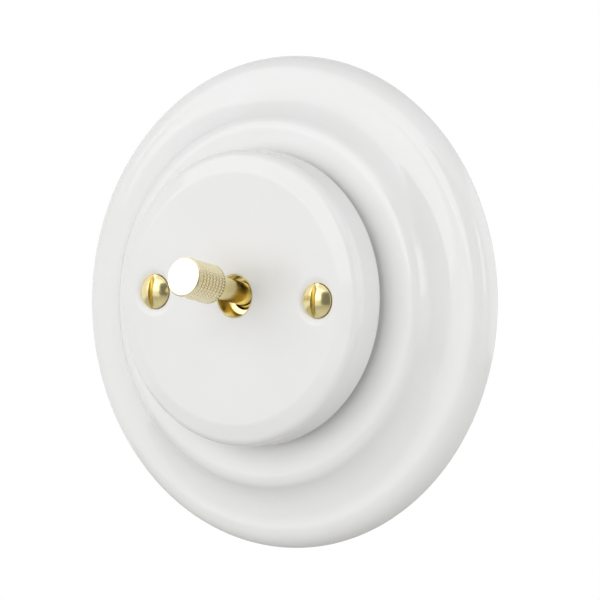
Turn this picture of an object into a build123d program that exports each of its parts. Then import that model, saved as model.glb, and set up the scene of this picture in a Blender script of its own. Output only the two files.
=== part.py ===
from build123d import *
import os
from math import asin, atan2, cos, degrees, radians, sin, sqrt, tan

# A round porcelain toggle switch for a flush wall box, with a brass lever.
# Lengths are millimetres and angles are degrees. +Z is up, +X is right and the room is on the
# -Y side. The origin is where the cover's axis meets the wall. A height is the distance in front
# of the wall, a depth is the distance behind it. The lever is at rest in its upper position.

# Outer porcelain frame: a rounded rim, a hollow cove and a flat step for the cover
FRAME_RADIUS = 52.0
FRAME_WALL = 4.2
FRAME_DROP = 1.2
RIM_STEP = 0.3
RIM_ROUND = 4.6
RIM_FOOT = 5.0
COVE_ROUND = 10.4
SHOULDER_ROUND = 3.6
STEP_HEIGHT = 10.4
OPENING_ROUND = 0.4

# Porcelain cover that stands on the step
COVER_RADIUS = 30.95
COVER_DROP = 0.4
COVER_HEIGHT = 21.2
COVER_FRONT_WALL = 5.2
LIP_GAP = 1.8
LIP_ROUND = 0.6
LIP_OVERHANG = 2.3
FACE_RADIUS = 26.0
FACE_ROUND = 3.5
EDGE_SLOPE = 17.0
EDGE_ROUND = 2.4
SPIGOT_WALL = 2.0
SPIGOT_LENGTH = 3.4
SPIGOT_PLAY = 0.05

# Cover screws, their trumpet mouths in the porcelain and their posts
SCREW_SPACING = 41.75
SCREW_HEAD_RADIUS = 3.6
SCREW_HEAD_SIDE = 1.7
SCREW_DOME = 1.4
SCREW_SINK = 0.1
SCREW_RADIUS = 1.75
SCREW_LENGTH = 11.0
SCREW_SLOT_WIDTH = 1.2
SCREW_SLOT_DEPTH = 1.6
SCREW_MOUTH_WIDTH = 1.7
SCREW_MOUTH_ROUND = 3.0
SCREW_HEAD_PLAY = 0.12
SCREW_HOLE_PLAY = 0.35
THREAD_PLAY = 0.05
POST_RADIUS = 2.6
POST_SPIGOT_RADIUS = 2.0
POST_SIDE_GAP = 0.3
POST_CAP_GAP = 0.4
POST_BORE_DEPTH = 10.5

# Support plate on the wall box and its two slots
PLATE_MARGIN = 8.0
PLATE_THICKNESS = 1.6
BOX_SCREW_SPACING = 60.0
BOX_SLOT_LENGTH = 8.0
BOX_SLOT_RADIUS = 2.1

# Lever: pivot ball, stem, tail and knurled knob
PIVOT_DEPTH = 5.7
LEVER_ANGLE = 9.6
BALL_RADIUS = 3.0
STEM_RADIUS = 2.4
TAIL_RADIUS = 2.4
TAIL_LENGTH = 11.6
KNOB_START = 14.6
KNOB_LENGTH = 9.55
KNOB_RADIUS = 4.15
KNOB_CHAMFER = 0.27
KNOB_STUD_RADIUS = 1.5
KNOB_STUD_LENGTH = 5.0
PIN_RADIUS = 1.0
PIN_SEAT_PLAY = 0.02
PIVOT_PLAY = 0.05

# Brass bush that carries the lever, its nut and the bridge under it
BUSH_RADIUS = 4.5
BUSH_RECESS = 0.1
BUSH_RIM = 0.12
FUNNEL_DEPTH = 3.6
THROAT_GAP = 0.1
THROAT_LENGTH = 0.3
BUSH_HOLE_PLAY = 0.06
BUSH_HOLE_ROUND = 0.2
COLLAR_RADIUS = 7.0
COLLAR_RISE = 1.6
COLLAR_GAP = 0.3
BUSH_THREAD_RADIUS = 6.0
STOP_GAP = 0.05
NUT_ACROSS_FLATS = 15.0
NUT_SIDES = 6
NUT_THICKNESS = 2.8
BRIDGE_THICKNESS = 1.6
BRIDGE_HEIGHT = 9.8
BRIDGE_WIDTH = 16.0
BRIDGE_SPAN = 34.0
BRIDGE_FOOT = 7.0
BRIDGE_BEND = 1.2
FOOT_SCREW_RADIUS = 1.7
FOOT_SCREW_HEAD_RADIUS = 3.1
FOOT_SCREW_HEAD = 2.0
FOOT_SCREW_SLOT = 1.1
FOOT_SCREW_LENGTH = 9.0

# Sprung plunger in the lever's tail
PLUNGER_BORE_RADIUS = 1.5
PLUNGER_BORE_START = 5.6
PLUNGER_SHANK_START = 9.6
PLUNGER_SHANK_LENGTH = 2.6
PLUNGER_NOSE_RADIUS = 1.2
PLUNGER_NOSE_CENTRE = 14.0
PLUNGER_PLAY = 0.05
SPRING_WIRE_RADIUS = 0.22
SPRING_COIL_RADIUS = 1.12
SPRING_TURNS = 5.0

# Rocking contact and its silver tips
ROCKER_ANGLE = 8.0
ROCKER_LENGTH = 19.2
ROCKER_WIDTH = 6.0
ROCKER_THICKNESS = 1.4
ROCKER_DISH_WEB = 0.75
SADDLE_LENGTH = 8.0
SADDLE_FLANK = 0.8
NOSE_GAP = 0.08
TRUNNION_RADIUS = 0.6
TRUNNION_LENGTH = 9.8
TIP_OFFSET = 8.0
TIP_RADIUS = 1.5
TIP_HEIGHT = 0.6
TIP_DOME = 0.35
CONTACT_GAP = 0.05
FIXED_TIP_RADIUS = 1.7
FIXED_TIP_HEIGHT = 0.6

# Moulded housing behind the plate
HOUSING_WIDTH = 24.0
HOUSING_FLANGE_DEPTH = 9.0
HOUSING_DEPTH = 21.0
HOUSING_BODY_WIDTH = 20.0
HOUSING_BODY_HEIGHT = 27.0
HOUSING_CORNER = 2.5
NECK_WIDTH = 16.0
NECK_LENGTH = 28.0
NECK_HEIGHT = 4.4
NECK_PLAY = 0.2
CHAMBER_WIDTH = 11.2
CHAMBER_LENGTH = 23.0
SHIELD_THICKNESS = 0.9
SHIELD_SLOT_PLAY = 0.4

# Brass terminals, their clamp screws and wire holes
STRIP_THICKNESS = 1.0
STRIP_WIDTH = 5.2
STRIP_START = 6.0
LEG_WIDTH = 4.0
LEG_PLAY = 0.1
BLOCK_WIDTH = 7.2
BLOCK_START = 6.2
BLOCK_LENGTH = 7.0
BLOCK_PLAY = 0.3
WIRE_RADIUS = 1.5
WIRE_DEPTH = 9.0
WIRE_OFFSET = 2.4
CLAMP_DEPTH = 4.6
CLAMP_RADIUS = 1.45
CLAMP_HEAD_RADIUS = 2.6
CLAMP_HEAD = 1.8
CLAMP_HEAD_GAP = 0.3
CLAMP_SLOT_WIDTH = 0.8
CLAMP_SLOT_DEPTH = 0.9
EAR_THICKNESS = 1.0
EAR_LENGTH = 4.0
EAR_RISE = 1.1
EAR_GAP = 0.3
CENTRE_LEG_LENGTH = 3.0
CENTRE_BLOCK_START = 2.8

SIDES = (-1, 1)
UP = (0, 0, 1)
RIGHT = (1, 0, 0)
BACK = (0, 1, 0)

# Sizes that follow from the ones above
lip_height = STEP_HEIGHT + LIP_GAP
foot_radius = COVER_RADIUS - LIP_OVERHANG
ceiling_height = COVER_HEIGHT - COVER_FRONT_WALL
screw_x = SCREW_SPACING / 2
cavity_radius = sqrt(screw_x**2 + COVER_DROP**2) + POST_RADIUS + POST_SIDE_GAP
spigot_radius = cavity_radius + SPIGOT_WALL
opening_radius = spigot_radius + abs(FRAME_DROP - COVER_DROP) + SPIGOT_PLAY
plate_radius = FRAME_RADIUS - RIM_FOOT - PLATE_MARGIN
head_seat = COVER_HEIGHT - SCREW_SINK - SCREW_HEAD_SIDE
head_top = COVER_HEIGHT - SCREW_SINK + SCREW_DOME
post_top = ceiling_height - POST_CAP_GAP
pivot_height = COVER_HEIGHT - PIVOT_DEPTH
pivot = (0, -pivot_height, 0)
lever_axis = (0, -cos(radians(LEVER_ANGLE)), sin(radians(LEVER_ANGLE)))
bush_bore = BALL_RADIUS + PIVOT_PLAY
bush_top = COVER_HEIGHT - BUSH_RECESS
collar_top = pivot_height + COLLAR_RISE
nut_top = BRIDGE_HEIGHT - BRIDGE_THICKNESS
nut_bottom = nut_top - NUT_THICKNESS
foot_screw_z = (BRIDGE_SPAN + BRIDGE_FOOT) / 2
housing_height = BRIDGE_SPAN + 2 * BRIDGE_FOOT


def swing(distance, radius):
    """How far off the axis the lever reaches at this distance from its pivot along the axis."""
    return distance * tan(radians(LEVER_ANGLE)) + radius / cos(radians(LEVER_ANGLE))


# The tail meets the bush's rear mouth at each end of the travel, and the stem clears its throat
stop_radius = swing(pivot_height - nut_bottom, TAIL_RADIUS) + STOP_GAP
throat_height = bush_top - FUNNEL_DEPTH
throat_radius = swing(throat_height - pivot_height, STEM_RADIUS) + THROAT_GAP

# The rocker turns about its trunnions, and its dish follows the plunger's nose
dish_clear = PLUNGER_NOSE_RADIUS + NOSE_GAP
fulcrum_depth = PLUNGER_NOSE_CENTRE - pivot_height + ROCKER_DISH_WEB + dish_clear
fulcrum = (0, fulcrum_depth, 0)
nose_mid = ROCKER_DISH_WEB + dish_clear
nose_y = PLUNGER_NOSE_CENTRE * cos(radians(LEVER_ANGLE)) - pivot_height - fulcrum_depth
nose_z = PLUNGER_NOSE_CENTRE * sin(radians(LEVER_ANGLE))
nose_rise = nose_z * sin(radians(ROCKER_ANGLE)) - nose_y * cos(radians(ROCKER_ANGLE)) - nose_mid
nose_run = nose_z * cos(radians(ROCKER_ANGLE)) + nose_y * sin(radians(ROCKER_ANGLE))
nose_path_radius = (nose_run**2 + nose_rise**2) / (2 * nose_rise)
dish_radius = nose_path_radius + dish_clear
dish_centre = ROCKER_DISH_WEB + dish_radius
horn_rise = dish_centre - sqrt(dish_radius**2 - (SADDLE_LENGTH / 2) ** 2)

# Each domed tip meets its fixed tip when the rocker is at the end of its travel
tip_face = ROCKER_THICKNESS / 2 + TIP_HEIGHT
tip_dome_radius = (TIP_RADIUS**2 + TIP_DOME**2) / (2 * TIP_DOME)
dome_y = tip_face - tip_dome_radius
contact_depth = (
    fulcrum_depth
    + dome_y * cos(radians(ROCKER_ANGLE))
    + TIP_OFFSET * sin(radians(ROCKER_ANGLE))
    + tip_dome_radius
    + CONTACT_GAP
)
contact_z = TIP_OFFSET * cos(radians(ROCKER_ANGLE)) - dome_y * sin(radians(ROCKER_ANGLE))
strip_depth = contact_depth + FIXED_TIP_HEIGHT
floor_depth = strip_depth + STRIP_THICKNESS
block_depth = HOUSING_DEPTH - HOUSING_FLANGE_DEPTH
block_end = BLOCK_START + BLOCK_LENGTH
clamp_y = HOUSING_DEPTH - CLAMP_DEPTH
centre_block_end = HOUSING_BODY_WIDTH / 2 - BLOCK_PLAY


def front_plane(height):
    """Plane parallel to the wall at this height, facing the room, with X right and Z up."""
    return Plane.XZ.offset(height)


def section_plane(x=0, z=0):
    """Half section through an axis square to the wall: radius across, height up."""
    return Plane(origin=(x, 0, z), x_dir=RIGHT, z_dir=(0, 0, -1))


def wall_axis(x=0, z=0):
    """Axis square to the wall."""
    return Axis((x, 0, z), BACK)


def side_plane():
    """Side view from the right: Z across and height up, drawn at X = 0."""
    return Plane(origin=(0, 0, 0), x_dir=UP, z_dir=RIGHT)


def lever_plane():
    """Half section through the lever: radius across, distance from the pivot up."""
    return Plane(origin=pivot, x_dir=RIGHT, z_dir=Vector(RIGHT).cross(Vector(lever_axis)))


def rocker_plane():
    """Side view of the rocker at rest: its length across and its rise to the lever up."""
    along = (0, -sin(radians(ROCKER_ANGLE)), cos(radians(ROCKER_ANGLE)))
    return Plane(origin=fulcrum, x_dir=along, z_dir=RIGHT)


def keep(name, part):
    """Label a finished piece and write it to its own file."""
    part.label = name
    export_step(part, f"parts/{name}.step")


os.makedirs("parts", exist_ok=True)

# Outer frame: the shoulder's rounding touches both the cove and the flat step
crest_radius = FRAME_RADIUS - RIM_ROUND
cove_height = RIM_STEP + RIM_ROUND + COVE_ROUND
shoulder_height = STEP_HEIGHT - SHOULDER_ROUND
shoulder_fall = cove_height - shoulder_height
shoulder_reach = sqrt((COVE_ROUND + SHOULDER_ROUND) ** 2 - shoulder_fall**2)
shoulder_radius = crest_radius - shoulder_reach
shoulder_angle = degrees(atan2(shoulder_fall, shoulder_reach))
back_radius = COVE_ROUND + FRAME_WALL
back_height = STEP_HEIGHT - FRAME_WALL
back_angle = degrees(asin((cove_height - back_height) / back_radius))
foot_inner = FRAME_RADIUS - RIM_FOOT
foot_angle = degrees(asin((crest_radius - foot_inner) / back_radius))

with BuildPart() as outer_frame:
    with BuildSketch(section_plane(z=-FRAME_DROP)):
        with BuildLine():
            rim = Line((FRAME_RADIUS, 0), (FRAME_RADIUS, RIM_STEP))
            CenterArc((crest_radius, RIM_STEP), RIM_ROUND, 0, 90)
            CenterArc((crest_radius, cove_height), COVE_ROUND, 270, shoulder_angle - 90)
            shoulder = CenterArc(
                (shoulder_radius, shoulder_height), SHOULDER_ROUND, shoulder_angle, 90 - shoulder_angle
            )
            mouth = CenterArc(
                (opening_radius + OPENING_ROUND, STEP_HEIGHT - OPENING_ROUND), OPENING_ROUND, 90, 90
            )
            Line(shoulder @ 1, mouth @ 0)
            back = CenterArc(
                (crest_radius, cove_height),
                back_radius,
                180 + back_angle,
                90 - back_angle - foot_angle,
            )
            Polyline(mouth @ 1, (opening_radius, back_height), back @ 0)
            Polyline(back @ 1, (foot_inner, 0), rim @ 0)
        make_face()
    revolve(axis=wall_axis(z=-FRAME_DROP))
keep("outer_frame", outer_frame.part)

# Cover: its foot presses on the step, its spigot centres it in the opening. It hangs a little low,
# and its holes follow the bush and the screws
face_run = FACE_ROUND * sin(radians(EDGE_SLOPE))
face_fall = FACE_ROUND * (1 - cos(radians(EDGE_SLOPE)))
edge_run = EDGE_ROUND * (1 - sin(radians(EDGE_SLOPE)))
edge_fall = EDGE_ROUND * cos(radians(EDGE_SLOPE))
slope_fall = (COVER_RADIUS - edge_run - FACE_RADIUS - face_run) * tan(radians(EDGE_SLOPE))
side_top = COVER_HEIGHT - face_fall - slope_fall - edge_fall
bush_hole = BUSH_RADIUS + BUSH_HOLE_PLAY
collar_hole = COLLAR_RADIUS + COLLAR_GAP
screw_mouth = SCREW_HEAD_RADIUS + SCREW_HEAD_PLAY
mouth_edge = screw_mouth + SCREW_MOUTH_WIDTH
mouth_turn = degrees(asin(SCREW_MOUTH_WIDTH / SCREW_MOUTH_ROUND))

with BuildPart() as centre_cover:
    with BuildSketch(section_plane(z=-COVER_DROP)):
        with BuildLine():
            lip = CenterArc((COVER_RADIUS - LIP_ROUND, lip_height + LIP_ROUND), LIP_ROUND, 270, 90)
            edge = CenterArc((COVER_RADIUS - EDGE_ROUND, side_top), EDGE_ROUND, 0, 90 - EDGE_SLOPE)
            face = CenterArc(
                (FACE_RADIUS, COVER_HEIGHT - FACE_ROUND), FACE_ROUND, 90 - EDGE_SLOPE, EDGE_SLOPE
            )
            Line(lip @ 1, edge @ 0)
            Line(edge @ 1, face @ 0)
            Polyline(
                face @ 1,
                (0, COVER_HEIGHT),
                (0, ceiling_height),
                (cavity_radius, ceiling_height),
                (cavity_radius, STEP_HEIGHT - SPIGOT_LENGTH),
                (spigot_radius, STEP_HEIGHT - SPIGOT_LENGTH),
                (spigot_radius, STEP_HEIGHT),
                (foot_radius, STEP_HEIGHT),
                (foot_radius, lip_height),
                lip @ 0,
            )
        make_face()
    revolve(axis=wall_axis(z=-COVER_DROP))
    with BuildSketch(section_plane()):
        with BuildLine():
            hole = CenterArc(
                (bush_hole + BUSH_HOLE_ROUND, COVER_HEIGHT - BUSH_HOLE_ROUND), BUSH_HOLE_ROUND, 90, 90
            )
            Polyline(
                hole @ 1,
                (bush_hole, collar_top + COLLAR_GAP),
                (collar_hole, collar_top + COLLAR_GAP),
                (collar_hole, ceiling_height),
                (0, ceiling_height),
                (0, COVER_HEIGHT),
                hole @ 0,
            )
        make_face()
    revolve(axis=wall_axis(), mode=Mode.SUBTRACT)
    for side in SIDES:
        with BuildSketch(section_plane(x=side * screw_x)):
            with BuildLine():
                trumpet = CenterArc(
                    (mouth_edge, COVER_HEIGHT - SCREW_MOUTH_ROUND), SCREW_MOUTH_ROUND, 90, mouth_turn
                )
                Polyline(
                    trumpet @ 1,
                    (screw_mouth, head_seat),
                    (SCREW_RADIUS + SCREW_HOLE_PLAY, head_seat),
                    (SCREW_RADIUS + SCREW_HOLE_PLAY, ceiling_height),
                    (0, ceiling_height),
                    (0, COVER_HEIGHT),
                    trumpet @ 0,
                )
            make_face()
        revolve(axis=wall_axis(x=side * screw_x), mode=Mode.SUBTRACT)
keep("centre_cover", centre_cover.part)

# Two slotted cover screws with domed heads
head_dome_radius = (SCREW_HEAD_RADIUS**2 + SCREW_DOME**2) / (2 * SCREW_DOME)

with BuildPart() as cover_screws:
    for side in SIDES:
        with BuildSketch(section_plane(x=side * screw_x)):
            with BuildLine():
                dome = RadiusArc(
                    (SCREW_HEAD_RADIUS, head_seat + SCREW_HEAD_SIDE), (0, head_top), -head_dome_radius
                )
                Polyline(
                    dome @ 1,
                    (0, head_seat - SCREW_LENGTH),
                    (SCREW_RADIUS, head_seat - SCREW_LENGTH),
                    (SCREW_RADIUS, head_seat),
                    (SCREW_HEAD_RADIUS, head_seat),
                    dome @ 0,
                )
            make_face()
        revolve(axis=wall_axis(x=side * screw_x))
        with BuildSketch(front_plane(head_top)):
            with Locations((side * screw_x, 0)):
                Rectangle(SCREW_SLOT_WIDTH, 2 * SCREW_HEAD_RADIUS)
        extrude(amount=-SCREW_SLOT_DEPTH, mode=Mode.SUBTRACT)
keep("cover_screws", cover_screws.part)

# Two threaded posts riveted into the plate
with BuildPart() as cover_posts:
    with BuildSketch(front_plane(PLATE_THICKNESS)):
        with Locations((-screw_x, 0), (screw_x, 0)):
            Circle(POST_RADIUS)
    extrude(amount=post_top - PLATE_THICKNESS)
    with BuildSketch(front_plane(0)):
        with Locations((-screw_x, 0), (screw_x, 0)):
            Circle(POST_SPIGOT_RADIUS)
    extrude(amount=PLATE_THICKNESS)
    with BuildSketch(front_plane(post_top)):
        with Locations((-screw_x, 0), (screw_x, 0)):
            Circle(SCREW_RADIUS + THREAD_PLAY)
    extrude(amount=-POST_BORE_DEPTH, mode=Mode.SUBTRACT)
keep("cover_posts", cover_posts.part)

# Support plate with a window for the housing's neck
with BuildPart() as support_plate:
    with BuildSketch(front_plane(0)):
        Circle(plate_radius)
        Rectangle(NECK_WIDTH + 2 * NECK_PLAY, NECK_LENGTH + 2 * NECK_PLAY, mode=Mode.SUBTRACT)
        with GridLocations(BOX_SCREW_SPACING, 0, 2, 1):
            SlotOverall(BOX_SLOT_LENGTH, 2 * BOX_SLOT_RADIUS, mode=Mode.SUBTRACT)
        with GridLocations(SCREW_SPACING, 0, 2, 1):
            Circle(POST_SPIGOT_RADIUS + PIN_SEAT_PLAY, mode=Mode.SUBTRACT)
        with GridLocations(0, 2 * foot_screw_z, 1, 2):
            Circle(FOOT_SCREW_RADIUS + THREAD_PLAY, mode=Mode.SUBTRACT)
    extrude(amount=PLATE_THICKNESS)
keep("support_plate", support_plate.part)

# Bridge: a bent strip that holds the bush in front of the housing
half_span = BRIDGE_SPAN / 2
foot_top = PLATE_THICKNESS + BRIDGE_THICKNESS
leg_inner = half_span - BRIDGE_THICKNESS

with BuildPart() as bridge:
    with BuildSketch(side_plane()):
        with BuildLine():
            Polyline(
                (0, nut_top),
                (leg_inner, nut_top),
                (leg_inner, PLATE_THICKNESS),
                (half_span + BRIDGE_FOOT, PLATE_THICKNESS),
                (half_span + BRIDGE_FOOT, foot_top),
                (half_span, foot_top),
                (half_span, BRIDGE_HEIGHT),
                (0, BRIDGE_HEIGHT),
            )
            mirror(about=Plane.YZ)
        make_face()
    extrude(amount=BRIDGE_WIDTH / 2, both=True)
    fillet(bridge.edges().filter_by(Axis.X).group_by(Axis.Y)[0], BRIDGE_BEND)
    with BuildSketch(front_plane(0)):
        Circle(BUSH_THREAD_RADIUS + THREAD_PLAY)
        with GridLocations(0, 2 * foot_screw_z, 1, 2):
            Circle(FOOT_SCREW_RADIUS + THREAD_PLAY)
    extrude(amount=BRIDGE_HEIGHT, mode=Mode.SUBTRACT)
keep("bridge", bridge.part)

# Two screws that clamp the bridge, the plate and the housing together
with BuildPart() as bridge_screws:
    with BuildSketch(front_plane(foot_top)):
        with GridLocations(0, 2 * foot_screw_z, 1, 2):
            Circle(FOOT_SCREW_HEAD_RADIUS)
    extrude(amount=FOOT_SCREW_HEAD)
    with BuildSketch(front_plane(foot_top)):
        with GridLocations(0, 2 * foot_screw_z, 1, 2):
            Circle(FOOT_SCREW_RADIUS)
    extrude(amount=-FOOT_SCREW_LENGTH)
    with BuildSketch(front_plane(foot_top + FOOT_SCREW_HEAD)):
        with GridLocations(0, 2 * foot_screw_z, 1, 2):
            Rectangle(2 * FOOT_SCREW_HEAD_RADIUS, SCREW_SLOT_WIDTH)
    extrude(amount=-FOOT_SCREW_SLOT, mode=Mode.SUBTRACT)
keep("bridge_screws", bridge_screws.part)

# Bush: conical mouth and throat for the stem, round bore for the ball, rear mouth that stops the tail
mouth_radius = BUSH_RADIUS - BUSH_RIM
lip_bottom = throat_height - THROAT_LENGTH
bore_top = lip_bottom - (bush_bore - throat_radius)

with BuildPart() as lever_bush:
    with BuildSketch(section_plane()):
        with BuildLine():
            Polyline(
                (mouth_radius, bush_top),
                (throat_radius, throat_height),
                (throat_radius, lip_bottom),
                (bush_bore, bore_top),
                (bush_bore, pivot_height),
                (stop_radius, nut_bottom),
                (BUSH_THREAD_RADIUS, nut_bottom),
                (BUSH_THREAD_RADIUS, BRIDGE_HEIGHT),
                (COLLAR_RADIUS, BRIDGE_HEIGHT),
                (COLLAR_RADIUS, collar_top),
                (BUSH_RADIUS, collar_top),
                (BUSH_RADIUS, bush_top),
                close=True,
            )
        make_face()
    revolve(axis=wall_axis())
    with BuildSketch(Plane(origin=pivot, x_dir=BACK, z_dir=RIGHT)):
        Circle(PIN_RADIUS + PIN_SEAT_PLAY)
    extrude(amount=COLLAR_RADIUS, both=True, mode=Mode.SUBTRACT)
keep("lever_bush", lever_bush.part)

# Hexagon nut under the bridge
with BuildPart() as bush_nut:
    with BuildSketch(front_plane(nut_bottom)):
        RegularPolygon(NUT_ACROSS_FLATS / 2, NUT_SIDES, major_radius=False)
        Circle(BUSH_THREAD_RADIUS + THREAD_PLAY, mode=Mode.SUBTRACT)
    extrude(amount=NUT_THICKNESS)
keep("bush_nut", bush_nut.part)

# Pivot pin across the bush
with BuildPart() as lever_pin:
    with BuildSketch(Plane(origin=pivot, x_dir=BACK, z_dir=RIGHT)):
        Circle(PIN_RADIUS)
    extrude(amount=sqrt(COLLAR_RADIUS**2 - PIN_RADIUS**2), both=True)
keep("lever_pin", lever_pin.part)

# Lever stem: stud for the knob, stem, ball and hollow tail
ball_to_stem = sqrt(BALL_RADIUS**2 - STEM_RADIUS**2)
ball_to_tail = sqrt(BALL_RADIUS**2 - TAIL_RADIUS**2)
stud_end = KNOB_START + KNOB_STUD_LENGTH

with BuildPart() as lever_stem:
    with BuildSketch(lever_plane()):
        with BuildLine():
            ball = ThreePointArc((TAIL_RADIUS, -ball_to_tail), (BALL_RADIUS, 0), (STEM_RADIUS, ball_to_stem))
            Polyline(
                ball @ 1,
                (STEM_RADIUS, KNOB_START),
                (KNOB_STUD_RADIUS, KNOB_START),
                (KNOB_STUD_RADIUS, stud_end),
                (0, stud_end),
                (0, -PLUNGER_BORE_START),
                (PLUNGER_BORE_RADIUS, -PLUNGER_BORE_START),
                (PLUNGER_BORE_RADIUS, -TAIL_LENGTH),
                (TAIL_RADIUS, -TAIL_LENGTH),
                ball @ 0,
            )
        make_face()
    revolve(axis=Axis(pivot, lever_axis))
    with BuildSketch(Plane(origin=pivot, x_dir=BACK, z_dir=RIGHT)):
        Circle(PIN_RADIUS + PIVOT_PLAY)
    extrude(amount=BALL_RADIUS, both=True, mode=Mode.SUBTRACT)
keep("lever_stem", lever_stem.part)

# Knob screwed on the stud
knob_end = KNOB_START + KNOB_LENGTH
knob_bore = KNOB_STUD_RADIUS + THREAD_PLAY

with BuildPart() as lever_knob:
    with BuildSketch(lever_plane()):
        with BuildLine():
            Polyline(
                (0, stud_end + THREAD_PLAY),
                (knob_bore, stud_end + THREAD_PLAY),
                (knob_bore, KNOB_START),
                (KNOB_RADIUS - KNOB_CHAMFER, KNOB_START),
                (KNOB_RADIUS, KNOB_START + KNOB_CHAMFER),
                (KNOB_RADIUS, knob_end - KNOB_CHAMFER),
                (KNOB_RADIUS - KNOB_CHAMFER, knob_end),
                (0, knob_end),
                close=True,
            )
        make_face()
    revolve(axis=Axis(pivot, lever_axis))
keep("lever_knob", lever_knob.part)

# Plunger with a round nose, sliding in the tail
shank_radius = PLUNGER_BORE_RADIUS - PLUNGER_PLAY
shank_end = PLUNGER_SHANK_START + PLUNGER_SHANK_LENGTH
nose_step = shank_radius - PLUNGER_NOSE_RADIUS

with BuildPart() as plunger:
    with BuildSketch(lever_plane()):
        with BuildLine():
            nose = CenterArc((0, -PLUNGER_NOSE_CENTRE), PLUNGER_NOSE_RADIUS, 270, 90)
            Polyline(
                nose @ 1,
                (PLUNGER_NOSE_RADIUS, -shank_end - nose_step),
                (shank_radius, -shank_end),
                (shank_radius, -PLUNGER_SHANK_START),
                (0, -PLUNGER_SHANK_START),
                nose @ 0,
            )
        make_face()
    revolve(axis=Axis(pivot, lever_axis))
keep("plunger", plunger.part)

# Coil spring between the bottom of the tail's bore and the plunger
spring_start = PLUNGER_BORE_START + SPRING_WIRE_RADIUS
spring_length = PLUNGER_SHANK_START - PLUNGER_BORE_START - 2 * SPRING_WIRE_RADIUS
spring_base = Vector(pivot) - Vector(lever_axis) * spring_start

with BuildPart() as plunger_spring:
    with BuildLine() as coil:
        Helix(
            pitch=spring_length / SPRING_TURNS,
            height=spring_length,
            radius=SPRING_COIL_RADIUS,
            center=spring_base,
            direction=-Vector(lever_axis),
        )
    with BuildSketch(Plane(origin=coil.line @ 0, z_dir=coil.line % 0)):
        Circle(SPRING_WIRE_RADIUS)
    sweep(path=coil.line, is_frenet=True)
keep("plunger_spring", plunger_spring.part)

# Rocker: a bar on two trunnions with a dished saddle under the plunger
half_rocker = ROCKER_LENGTH / 2
half_saddle = SADDLE_LENGTH / 2
rocker_front = ROCKER_THICKNESS / 2

with BuildPart() as rocker_contact:
    with BuildSketch(rocker_plane()):
        with BuildLine():
            dish = ThreePointArc((-half_saddle, horn_rise), (0, ROCKER_DISH_WEB), (half_saddle, horn_rise))
            Polyline(
                dish @ 1,
                (half_saddle + SADDLE_FLANK, rocker_front),
                (half_rocker, rocker_front),
                (half_rocker, -rocker_front),
                (-half_rocker, -rocker_front),
                (-half_rocker, rocker_front),
                (-half_saddle - SADDLE_FLANK, rocker_front),
                dish @ 0,
            )
        make_face()
    extrude(amount=ROCKER_WIDTH / 2, both=True)
    with BuildSketch(rocker_plane()):
        Circle(TRUNNION_RADIUS)
    extrude(amount=TRUNNION_LENGTH / 2, both=True)
keep("rocker_contact", rocker_contact.part)

# Domed silver tips on the rocker's two ends
with BuildPart() as rocker_tips:
    for side in SIDES:
        across = side * TIP_OFFSET
        with BuildSketch(rocker_plane()):
            with BuildLine():
                dome = RadiusArc(
                    (across + TIP_RADIUS, TIP_DOME - tip_face), (across, -tip_face), tip_dome_radius
                )
                Polyline(
                    dome @ 1,
                    (across, -rocker_front),
                    (across + TIP_RADIUS, -rocker_front),
                    dome @ 0,
                )
            make_face()
        revolve(axis=Axis(rocker_plane().from_local_coords((across, 0, 0)), rocker_plane().y_dir))
keep("rocker_tips", rocker_tips.part)

# Flat silver tips on the two end terminals
with BuildPart() as fixed_tips:
    with BuildSketch(front_plane(-contact_depth)):
        with GridLocations(0, 2 * contact_z, 1, 2):
            Circle(FIXED_TIP_RADIUS)
    extrude(amount=-FIXED_TIP_HEIGHT)
keep("fixed_tips", fixed_tips.part)

# End terminals: a strip under the fixed tip, a leg through the floor and a clamp block
strip_end = contact_z + FIXED_TIP_RADIUS + EAR_GAP
clamp_hole = CLAMP_RADIUS + THREAD_PLAY

for name, side in (("upper_terminal", 1), ("lower_terminal", -1)):
    with BuildPart() as terminal:
        with BuildSketch(front_plane(-strip_depth)):
            with Locations((0, side * (STRIP_START + strip_end) / 2)):
                Rectangle(STRIP_WIDTH, strip_end - STRIP_START)
        extrude(amount=-STRIP_THICKNESS)
        with BuildSketch(front_plane(-floor_depth)):
            with Locations((0, side * (strip_end - STRIP_THICKNESS / 2))):
                Rectangle(LEG_WIDTH, STRIP_THICKNESS)
        extrude(amount=floor_depth - HOUSING_FLANGE_DEPTH)
        with BuildSketch(front_plane(-HOUSING_FLANGE_DEPTH)):
            with Locations((0, side * (BLOCK_START + BLOCK_LENGTH / 2))):
                Rectangle(BLOCK_WIDTH, BLOCK_LENGTH)
        extrude(amount=-block_depth)
        with BuildSketch(front_plane(-HOUSING_DEPTH)):
            with Locations((0, side * (BLOCK_START + WIRE_OFFSET))):
                Circle(WIRE_RADIUS)
        extrude(amount=WIRE_DEPTH, mode=Mode.SUBTRACT)
        with BuildSketch(Plane(origin=(0, clamp_y, side * block_end), x_dir=RIGHT, z_dir=(0, 0, side))):
            Circle(clamp_hole)
        extrude(amount=WIRE_OFFSET - BLOCK_LENGTH, mode=Mode.SUBTRACT)
    keep(name, terminal.part)

# Centre terminal: two notched ears for the trunnions, a leg and a clamp block at the side
ear_inner = ROCKER_WIDTH / 2 + EAR_GAP
ear_top = EAR_RISE - fulcrum_depth
notch_radius = TRUNNION_RADIUS + PIVOT_PLAY
base_half = ear_inner + EAR_THICKNESS
centre_block_width = centre_block_end - CENTRE_BLOCK_START

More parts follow.
